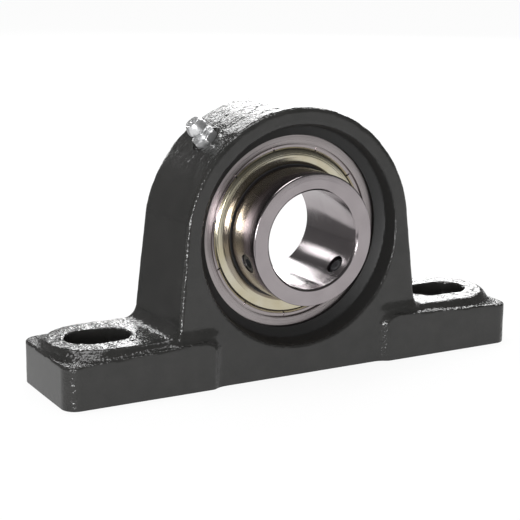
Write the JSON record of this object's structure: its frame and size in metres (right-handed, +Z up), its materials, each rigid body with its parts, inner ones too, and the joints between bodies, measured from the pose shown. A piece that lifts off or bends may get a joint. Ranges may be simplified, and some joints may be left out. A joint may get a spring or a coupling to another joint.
{
  "type": "pillow block bearing",
  "caption": "Cast pillow block with a sealed, self-aligning insert ball bearing that carries a rotating shaft over a bolted foot.",
  "frame": {"origin": "middle of the mounting face, straight under the bearing's centre and midway between the two bolt slots", "axes": "+Z up from the mounting face, X along the base, the shaft along Y with its set-screw end, the front, towards -Y"},
  "size_m": [0.155, 0.04, 0.0814],
  "materials": {
    "cast_iron_paint": "dark semi-gloss paint over sand-cast skin",
    "ring_steel": "ground bearing steel",
    "polished_steel": "finely ground and polished bearing steel",
    "ball_steel": "lapped",
    "cage_steel": "pressed sheet",
    "yellow_zinc": "yellow passivated zinc plating",
    "black_rubber": "matt",
    "black_oxide": "black oxide",
    "bright_zinc": "bright zinc plating",
    "spring_steel": "drawn wire"
  },
  "bodies": {
    "housing": {"housing": "cast_iron_paint", "grease_nipple": "bright_zinc", "nipple_spring": "spring_steel"},
    "insert": {"outer_ring": "ring_steel", "front_shield": "yellow_zinc", "back_shield": "yellow_zinc", "front_seal_lip": "black_rubber", "back_seal_lip": "black_rubber"},
    "inner_ring": {"inner_ring": "polished_steel"},
    "cage": {"cage_front": "cage_steel", "cage_back": "cage_steel", "cage_rivets": "cage_steel"},
    "ball_1": {"ball_1": "ball_steel"},
    "ball_2": {"ball_2": "ball_steel"},
    "ball_3": {"ball_3": "ball_steel"},
    "ball_4": {"ball_4": "ball_steel"},
    "ball_5": {"ball_5": "ball_steel"},
    "ball_6": {"ball_6": "ball_steel"},
    "ball_7": {"ball_7": "ball_steel"},
    "ball_8": {"ball_8": "ball_steel"},
    "ball_9": {"ball_9": "ball_steel"},
    "set_screw_1": {"set_screw_1": "black_oxide"},
    "set_screw_2": {"set_screw_2": "black_oxide"},
    "nipple_check_ball": {"nipple_check_ball": "ball_steel"}
  },
  "joints": [
    {"name": "insert_swivel", "type": "hinge", "parent": "housing", "child": "insert", "pos_m": [0, 0, 0.0429], "axis": [1, 0, 0], "range_deg": [-5, 5]},
    {"name": "shaft_spin", "type": "hinge", "parent": "insert", "child": "inner_ring", "pos_m": [0, 0, 0.0429], "axis": [0, -1, 0], "continuous": true},
    {"name": "cage_spin", "type": "hinge", "parent": "insert", "child": "cage", "pos_m": [0, 0, 0.0429], "axis": [0, -1, 0], "continuous": true},
    {"name": "ball_1_spin", "type": "hinge", "parent": "cage", "child": "ball_1", "pos_m": [0.0177, 0, 0.05775], "axis": [0, -1, 0], "continuous": true},
    {"name": "ball_2_spin", "type": "hinge", "parent": "cage", "child": "ball_2", "pos_m": [0.00401, 0, 0.06565], "axis": [0, -1, 0], "continuous": true},
    {"name": "ball_3_spin", "type": "hinge", "parent": "cage", "child": "ball_3", "pos_m": [-0.01155, 0, 0.06291], "axis": [0, -1, 0], "continuous": true},
    {"name": "ball_4_spin", "type": "hinge", "parent": "cage", "child": "ball_4", "pos_m": [-0.02171, 0, 0.0508], "axis": [0, -1, 0], "continuous": true},
    {"name": "ball_5_spin", "type": "hinge", "parent": "cage", "child": "ball_5", "pos_m": [-0.02171, 0, 0.035], "axis": [0, -1, 0], "continuous": true},
    {"name": "ball_6_spin", "type": "hinge", "parent": "cage", "child": "ball_6", "pos_m": [-0.01155, 0, 0.02289], "axis": [0, -1, 0], "continuous": true},
    {"name": "ball_7_spin", "type": "hinge", "parent": "cage", "child": "ball_7", "pos_m": [0.00401, 0, 0.02015], "axis": [0, -1, 0], "continuous": true},
    {"name": "ball_8_spin", "type": "hinge", "parent": "cage", "child": "ball_8", "pos_m": [0.0177, 0, 0.02805], "axis": [0, -1, 0], "continuous": true},
    {"name": "ball_9_spin", "type": "hinge", "parent": "cage", "child": "ball_9", "pos_m": [0.0231, 0, 0.0429], "axis": [0, -1, 0], "continuous": true},
    {"name": "set_screw_1_travel", "type": "slide", "parent": "inner_ring", "child": "set_screw_1", "axis": [0.749, 0, -0.6626], "range_m": [-0.00035, 0.002]},
    {"name": "set_screw_2_travel", "type": "slide", "parent": "inner_ring", "child": "set_screw_2", "axis": [-0.9483, 0, -0.3173], "range_m": [-0.00035, 0.002]},
    {"name": "nipple_check_ball_travel", "type": "slide", "parent": "housing", "child": "nipple_check_ball", "axis": [0.6534, 0, -0.757], "range_m": [0, 0.0006], "stiffness_N_per_m": 300, "deforming": ["nipple_spring"]}
  ],
  "couplings": [
    {"joint": "cage_spin", "follows": "shaft_spin", "ratio": 0.39693},
    {"joint": "ball_1_spin", "follows": "shaft_spin", "ratio": -2.3224},
    {"joint": "ball_2_spin", "follows": "shaft_spin", "ratio": -2.3224},
    {"joint": "ball_3_spin", "follows": "shaft_spin", "ratio": -2.3224},
    {"joint": "ball_4_spin", "follows": "shaft_spin", "ratio": -2.3224},
    {"joint": "ball_5_spin", "follows": "shaft_spin", "ratio": -2.3224},
    {"joint": "ball_6_spin", "follows": "shaft_spin", "ratio": -2.3224},
    {"joint": "ball_7_spin", "follows": "shaft_spin", "ratio": -2.3224},
    {"joint": "ball_8_spin", "follows": "shaft_spin", "ratio": -2.3224},
    {"joint": "ball_9_spin", "follows": "shaft_spin", "ratio": -2.3224}
  ]
}
